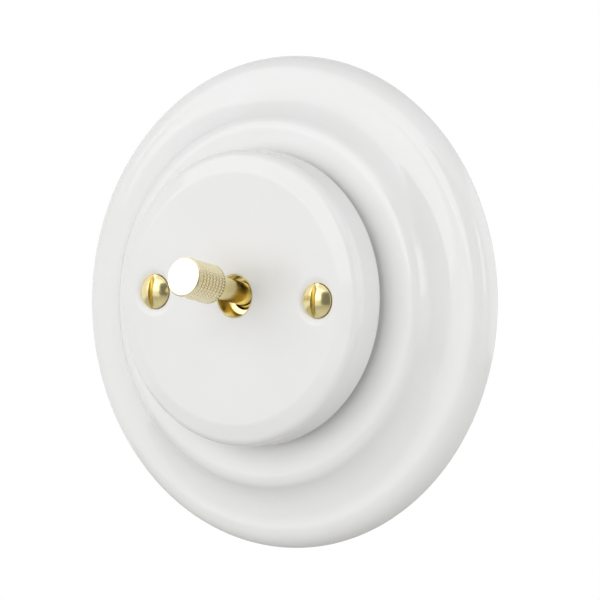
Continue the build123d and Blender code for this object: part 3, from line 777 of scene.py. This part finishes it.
@dataclass
class LeverBush:
    """The brass bush: bowl-shaped mouth, throat, ball bore and threaded foot."""

    radius: float = 4.5
    top: float = 21.1
    rim: float = 0.12
    bowl: float = 4.15
    bowl_round: float = 0.7
    bowl_floor: float = 17.65
    throat: float = 2.872
    throat_height: float = 17.5
    throat_length: float = 0.3
    bore: float = 3.05
    stop: float = 4.192
    foot: float = 5.4
    thread: float = 6.0
    seat: float = 9.8
    collar: float = 7.0
    collar_top: float = 17.1
    pin_hole: float = 1.02
    drill: float = 28.0
    edge: float = 0.05
    edge_angle: float = 30.0
    around: int = 128

    def build(self, lever: Lever) -> bpy.types.Object:
        """Turn the bush and drill it for the pin.

        Args:
            lever: Where the pin goes.

        Returns:
            The bush.
        """
        lip_bottom = self.throat_height - self.throat_length
        mouth = self.radius - self.rim
        bowl_centre = self.bowl_floor + self.bowl_round
        bush = turn(
            "lever_bush_turned",
            (self.thread, self.foot),
            (
                Run(self.thread, self.seat, steps=2),
                Run(self.collar, self.seat),
                Run(self.collar, self.collar_top),
                Run(self.radius, self.collar_top),
                Run(self.radius, self.top, steps=2),
                Run(mouth, self.top),
                Run(self.bowl, bowl_centre, steps=6),
                Arc(self.bowl - self.bowl_round, bowl_centre, -90, steps=10),
                Run(self.throat, self.throat_height, steps=3),
                Run(self.throat, lip_bottom),
                Run(self.bore, lip_bottom - (self.bore - self.throat)),
                Run(self.bore, lever.pivot_height, steps=2),
                Run(self.stop, self.foot, steps=2),
                Run(self.thread, self.foot),
            ),
            self.around,
        )
        cut(bush, lever.pin_tool(self.pin_hole, self.drill))
        break_edges(bush, self.edge, self.edge_angle)
        clean(bush)
        return dress(bush, POLISHED, Body.BASE, Slot.POLISHED_BRASS, "lever_bush")


@dataclass
class LeverStem:
    """The lever's stem with its ball, hollow tail and the knob's stud."""

    radius: float = 2.4
    ball: float = 3.0
    tail: float = 2.4
    tail_length: float = 11.6
    bore: float = 1.5
    bore_start: float = 5.6
    knob_start: float = 14.6
    stud: float = 1.5
    stud_length: float = 5.0
    pin_hole: float = 1.05
    drill: float = 12.0
    around: int = 96

    def build(self, lever: Lever) -> bpy.types.Object:
        """Turn the stem, drill it for the pin and tilt it.

        Args:
            lever: The lever's place and tilt.

        Returns:
            The stem.
        """
        stud_end = self.knob_start + self.stud_length
        low = math.degrees(math.acos(self.tail / self.ball))
        high = math.degrees(math.acos(self.radius / self.ball))
        stem = turn(
            "lever_stem_turned",
            (0, -self.bore_start),
            (
                Run(self.bore, -self.bore_start),
                Run(self.bore, -self.tail_length, steps=2),
                Run(self.tail, -self.tail_length),
                Run(self.tail, -self.ball * math.sin(math.radians(low)), steps=2),
                Arc(0, 0, low + high, steps=24),
                Run(self.radius, self.knob_start, steps=6),
                Run(self.stud, self.knob_start),
                Run(self.stud, stud_end),
                Run(0, stud_end),
            ),
            self.around,
        )
        lever.place(stem)
        cut(stem, lever.pin_tool(self.pin_hole, self.drill))
        clean(stem)
        return dress(stem, POLISHED, Body.LEVER, Slot.POLISHED_BRASS, "lever_stem")


@dataclass
class KnurledKnob:
    """The lever's knob: rings of rolled beads between two plain bands, and a flat end."""

    radius: float = 4.15
    start: float = 14.6
    length: float = 9.548
    front_band: float = 0.5
    rear_band: float = 0.3
    chamfer: float = 0.27
    beads: int = 40
    rings: int = 8
    groove: float = 0.1
    flank: float = 0.16
    crown: float = 0.08
    crown_rise: float = 0.08
    bore: float = 1.55
    bore_end: float = 19.65
    end_ring: float = 0.9
    crease: float = 20.0
    near: float = 0.01

    def at_height(self, edge: bmesh.types.BMEdge, height: float) -> bool:
        """Tell whether an edge lies square to the lever at this height."""
        return all(abs(-v.co.y / MM - height) < self.near for v in edge.verts)

    def step(self, out: float, along: float, scale: float) -> None:
        """Extrude the selected loop along the lever and scale it about the lever's axis.

        Args:
            out: Height of the loop before the move.
            along: How far it moves towards the tip.
            scale: Its new radius over its old one.
        """
        bpy.ops.mesh.extrude_edges_move(TRANSFORM_OT_translate={"value": (0, -along * MM, 0)})
        bpy.ops.transform.resize(
            value=(scale, 1, scale), center_override=(0, -(out + along) * MM, 0)
        )

    def build(self, lever: Lever) -> bpy.types.Object:
        """Model the knurl bead by bead, close both ends and tilt the knob.

        Args:
            lever: The lever's place and tilt.

        Returns:
            The knob.
        """
        root = self.radius - self.flank - self.crown_rise
        low = self.start + self.rear_band
        high = self.start + self.length - self.front_band
        pitch = (high - low) / self.rings
        deselect_all()
        bpy.ops.mesh.primitive_circle_add(
            vertices=self.beads, radius=root * MM, location=(0, -low * MM, 0),
            rotation=(math.pi / 2, 0, 0),
        )
        knob = bpy.context.object
        knob.name = "lever_knob_knurled"
        knob.data.name = knob.name
        apply_place(knob)
        bpy.ops.object.mode_set(mode="EDIT")
        bpy.ops.mesh.select_all(action="SELECT")
        for _ in range(self.rings):
            bpy.ops.mesh.extrude_edges_move(TRANSFORM_OT_translate={"value": (0, -pitch * MM, 0)})
        bpy.ops.mesh.select_all(action="SELECT")
        bpy.ops.mesh.normals_make_consistent(inside=False)
        for width, rise in ((self.groove, self.flank), (self.crown, self.crown_rise)):
            bpy.ops.mesh.inset(
                thickness=width * MM, depth=rise * MM, use_individual=True, use_boundary=True,
                use_even_offset=True,
            )
        edge_scale = (self.radius - self.chamfer) / self.radius
        for end, band, sign in ((high, self.front_band, 1), (low, self.rear_band, -1)):
            choose_edges(knob, lambda edge: edge.is_boundary and self.at_height(edge, end))
            self.step(end, 0, self.radius / root)
            self.step(end, sign * (band - self.chamfer), 1)
            tip = end + sign * (band - self.chamfer)
            self.step(tip, sign * self.chamfer, edge_scale)
            if sign > 0:
                self.step(tip + self.chamfer, 0, self.end_ring)
            else:
                self.step(self.start, 0, self.bore / (self.radius - self.chamfer))
                self.step(self.start, self.bore_end - self.start, 1)
            bpy.ops.mesh.edge_face_add()
        bpy.ops.object.mode_set(mode="OBJECT")
        clean(knob, self.crease)
        lever.place(knob)
        return dress(knob, KNURLED, Body.LEVER, Slot.KNURLED_BRASS, "lever_knob")


@dataclass(frozen=True)
class EasedPiece:
    """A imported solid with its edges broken, as stamping, moulding or deburring leaves them."""

    node: str
    finish: Finish
    body: Body
    slot: Slot
    edge: float
    weld: float = 0.002
    flat_angle: float = 0.5

    def build(self) -> bpy.types.Object:
        """Copy the solid's mesh, join its triangles, break its edges and dress it.

        Returns:
            The new piece.
        """
        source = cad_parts[self.node]
        piece = bpy.data.objects.new(f"{self.node}_eased", source.data.copy())
        piece.data.name = piece.name
        bpy.context.scene.collection.objects.link(piece)
        take(piece)
        bpy.ops.object.mode_set(mode="EDIT")
        bpy.ops.mesh.select_all(action="SELECT")
        bpy.ops.mesh.remove_doubles(threshold=self.weld * MM)
        bpy.ops.mesh.dissolve_limited(angle_limit=math.radians(self.flat_angle))
        bpy.ops.object.mode_set(mode="OBJECT")
        if self.edge:
            break_edges(piece, self.edge)
        clean(piece)
        flatten_shading(piece)
        return dress(piece, self.finish, self.body, self.slot, self.node)


@dataclass
class PlungerSpring:
    """The coil spring in the lever's tail, which shortens as the plunger is pushed in; here it
    rides with the plunger at its imported length.
    """

    start: float = 5.6
    end: float = 9.6
    travel: float = 0.5

    def build(self, lever: Lever) -> bpy.types.Object:
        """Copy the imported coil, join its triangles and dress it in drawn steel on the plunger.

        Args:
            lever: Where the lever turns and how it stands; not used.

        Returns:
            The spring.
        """
        coil = EasedPiece("plunger_spring", DRAWN, Body.PLUNGER, Slot.BRIGHT_STEEL, edge=0.0)
        spring = coil.build()
        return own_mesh(spring)


@dataclass
class SwitchWorks:
    """Everything behind the porcelain: plate, bridge, housing, contacts and terminals."""

    eased: tuple[EasedPiece, ...] = (
        EasedPiece("support_plate", ZINC, Body.BASE, Slot.ZINC_STEEL, 0.2),
        EasedPiece("bridge", ZINC, Body.BASE, Slot.ZINC_STEEL, 0.15),
        EasedPiece("bridge_screws", ZINC, Body.BASE, Slot.ZINC_STEEL, 0.15),
        EasedPiece("terminal_screws", ZINC, Body.BASE, Slot.ZINC_STEEL, 0.12),
        EasedPiece("bush_nut", MACHINED, Body.BASE, Slot.PLAIN_BRASS, 0.25),
        EasedPiece("cover_posts", MACHINED, Body.BASE, Slot.PLAIN_BRASS, 0.15),
        EasedPiece("centre_terminal", MACHINED, Body.BASE, Slot.PLAIN_BRASS, 0.15),
        EasedPiece("upper_terminal", MACHINED, Body.BASE, Slot.PLAIN_BRASS, 0.15),
        EasedPiece("lower_terminal", MACHINED, Body.BASE, Slot.PLAIN_BRASS, 0.15),
        EasedPiece("switch_housing", PHENOLIC, Body.BASE, Slot.MOULDING, 0.3),
        EasedPiece("arc_shield", FIBRE, Body.BASE, Slot.FIBRE, 0.1),
        EasedPiece("rocker_contact", MACHINED, Body.ROCKER, Slot.PLAIN_BRASS, 0.1),
    )

    def build(self) -> list[bpy.types.Object]:
        """Ease the sharp solids and give the small hidden ones their finish where they stand.

        Returns:
            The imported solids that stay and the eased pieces.
        """
        kept = {
            "lever_pin": DRAWN,
            "plunger": FIBRE,
            "rocker_tips": SILVER_FACE,
            "fixed_tips": SILVER_FACE,
        }
        nodes = [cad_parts[name] for name in kept]
        for node, finish in zip(nodes, kept.values()):
            node.data.materials.clear()
            node.data.materials.append(finish.material())
        return nodes + [piece.build() for piece in self.eased]


def around_switch(turned: float, rise: float, away: float) -> Vector:
    """Find a place around the switch.

    Args:
        turned: Degrees to the right of straight in front.
        rise: Degrees above the switch.
        away: Distance in metres.

    Returns:
        The place.
    """
    across, up = math.radians(turned), math.radians(rise)
    level = away * math.cos(up)
    return Vector((level * math.sin(across), -level * math.cos(across), away * math.sin(up)))


class LampUse(Enum):
    """What a lamp is for, as the kind of ray that doesn't see it."""

    LIGHT = "visible_glossy"
    REFLECTION = "visible_diffuse"
    BOTH = ""


@dataclass(frozen=True)
class Softbox:
    """A flat lamp that looks at the switch.

    Its turn and rise are degrees, its distance and sides are metres, and its brightness is that
    of its face, where white paper in the surround is 1.
    """

    name: str
    turned: float
    rise: float
    away: float
    width: float
    height: float
    brightness: float
    use: LampUse = LampUse.BOTH

    def hang(self) -> bpy.types.Object:
        """Hang the lamp in its place.

        Returns:
            The light.
        """
        place = around_switch(self.turned, self.rise, self.away)
        deselect_all()
        bpy.ops.object.light_add(type="AREA", location=place)
        light = bpy.context.object
        light.name = self.name
        light.data.shape = "RECTANGLE"
        light.data.size, light.data.size_y = self.width, self.height
        light.data.energy = self.brightness * math.pi * self.width * self.height
        light.rotation_euler = (-place).to_track_quat("-Z", "Y").to_euler()
        if self.use.value:
            setattr(light, self.use.value, False)
        return light


@dataclass
class Studio:
    """Camera at the photograph's place, soft light, white surround and a pale floor."""

    view_angle: float = 35.3
    roll: float = 2.67
    distance: float = 1200.0
    scale: float = 4.73
    centre_px: tuple[float, float] = (293.0, 296.2)
    image: int = 600
    sensor: float = 36.0
    near_clip: float = 0.05
    surround: float = 0.39
    lamps: tuple[Softbox, ...] = (
        Softbox("window_softbox", -18, 27, 1.5, 2.26, 1.27, 1.05, LampUse.REFLECTION),
        Softbox("fill_softbox", -12, 10, 1.5, 1.8, 1.4, 2.1, LampUse.LIGHT),
        Softbox("bounce_softbox", 94, 8, 1.5, 1.3, 1.6, 1.05, LampUse.LIGHT),
        Softbox("strip_softbox", 66, 17, 1.5, 0.22, 0.6, 1.7, LampUse.REFLECTION),
        Softbox("side_softbox", 122, 15, 1.4, 1.4, 1.6, 0.85),
    )
    card_place: tuple[float, float, float] = (31.0, 12.0, 1.2)
    card_size: tuple[float, float] = (1.07, 1.33)
    floor_size: float = 6.0
    floor_height: float = -1.1
    floor_lift: float = 0.2

    def camera(self) -> bpy.types.Object:
        """Set the camera so that the wall's origin falls on its point of the picture.

        Returns:
            The camera.
        """
        angle, roll = math.radians(self.view_angle), math.radians(self.roll)
        room = Vector((0, -1, 0))
        side = Vector((math.cos(roll), 0, math.sin(roll)))
        back = math.cos(angle) * room + math.sin(angle) * side
        right = math.cos(angle) * side - math.sin(angle) * room
        up = Vector((-math.sin(roll), 0, math.cos(roll)))
        focal = self.scale * self.distance
        half = self.image / 2
        across = (half - self.centre_px[0]) / focal * self.distance
        rise = (self.centre_px[1] - half) / focal * self.distance
        spot = (self.distance * back + across * right + rise * up) * MM
        deselect_all()
        bpy.ops.object.camera_add()
        camera = bpy.context.object
        camera.name = "photo_camera"
        camera.data.sensor_width = self.sensor
        camera.data.lens = focal * self.sensor / self.image
        camera.data.clip_start = self.near_clip
        turned = Matrix((right, up, back)).transposed().to_4x4()
        camera.matrix_world = Matrix.Translation(spot) @ turned
        bpy.context.scene.camera = camera
        return camera

    def seen(self, tree: bpy.types.NodeTree) -> bpy.types.NodeSocket:
        """Tell what the camera, metal or glass sees from what only lights the object.

        Args:
            tree: The node tree of the surround or the floor.

        Returns:
            A socket that is 1 where the ray is seen and 0 where it only lights.
        """
        rays = add_node(tree, "ShaderNodeLightPath")
        mirror = add_node(
            tree,
            "ShaderNodeMath",
            {"operation": "ADD", "use_clamp": True},
            {0: rays.outputs["Is Camera Ray"], 1: rays.outputs["Is Glossy Ray"]},
        )
        total = add_node(
            tree,
            "ShaderNodeMath",
            {"operation": "ADD", "use_clamp": True},
            {0: mirror.outputs[0], 1: rays.outputs["Is Transmission Ray"]},
        )
        return total.outputs[0]

    def world(self) -> None:
        """Light the object evenly and show white to the camera, to metal and to glass."""
        world = bpy.data.worlds.new("white_surround")
        bpy.context.scene.world = world
        world.use_nodes = True
        tree = world.node_tree
        light = tree.nodes["Background"]
        light.inputs["Color"].default_value = linear(WHITE)
        light.inputs["Strength"].default_value = self.surround
        white = add_node(tree, "ShaderNodeBackground", {"Color": linear(WHITE), "Strength": 1.0})
        mix = add_node(
            tree,
            "ShaderNodeMixShader",
            {},
            {0: self.seen(tree), 1: light.outputs[0], 2: white.outputs[0]},
        )
        tree.links.new(mix.outputs[0], tree.nodes["World Output"].inputs["Surface"])

    def card(self) -> bpy.types.Object:
        """Stand a grey card that shows in the metal and leaves the light as it is.

        Returns:
            The card.
        """
        place = around_switch(*self.card_place)
        deselect_all()
        bpy.ops.mesh.primitive_plane_add(size=1)
        card = bpy.context.object
        card.name = "camera_card"
        card.scale = (*self.card_size, 1)
        card.location = place
        card.rotation_euler = (-place).to_track_quat("-Z", "Y").to_euler()
        apply_place(card)
        card.data.materials.append(FLOCK.material())
        for ray in ("visible_camera", "visible_diffuse", "visible_shadow"):
            setattr(card, ray, False)
        return card

    def floor(self) -> bpy.types.Object:
        """Lay a pale floor as far down as a wall switch hangs above it, lifted to a white ground.

        Returns:
            The floor.
        """
        deselect_all()
        bpy.ops.mesh.primitive_plane_add(
            size=self.floor_size, location=(0, 0, self.floor_height)
        )
        floor = bpy.context.object
        floor.name = "pale_floor"
        apply_place(floor)
        paint = FLOOR_PAINT.material()
        tree = paint.node_tree
        lift = add_node(
            tree,
            "ShaderNodeMath",
            {"operation": "MULTIPLY", 1: self.floor_lift},
            {0: self.seen(tree)},
        )
        shader = tree.nodes["Principled BSDF"]
        shader.inputs["Emission Color"].default_value = linear(WHITE)
        tree.links.new(lift.outputs[0], shader.inputs["Emission Strength"])
        floor.data.materials.append(paint)
        return floor

    def build(self) -> None:
        """Set up the picture: camera, surround, lamps, card and floor."""
        self.camera()
        self.world()
        for lamp in self.lamps:
            lamp.hang()
        self.card()
        self.floor()
        bpy.context.scene.view_settings.view_transform = "Standard"


def main() -> None:
    """Build every sub-assembly in order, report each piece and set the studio."""
    logging.basicConfig(level=logging.INFO, format="%(message)s")
    lever = Lever()
    pieces = [
        PorcelainFrame().build(),
        PorcelainCover().build(),
        *CoverScrews().build(),
        LeverBush().build(lever),
        LeverStem().build(lever),
        KnurledKnob().build(lever),
        PlungerSpring().build(lever),
        *SwitchWorks().build(),
    ]
    for piece in pieces:
        finishes = ", ".join(finish.name for finish in piece.data.materials)
        LOG.info("%s: %d faces, %s", piece.name, len(piece.data.polygons), finishes)
    Studio().build()


if __name__ == "__main__":
    main()
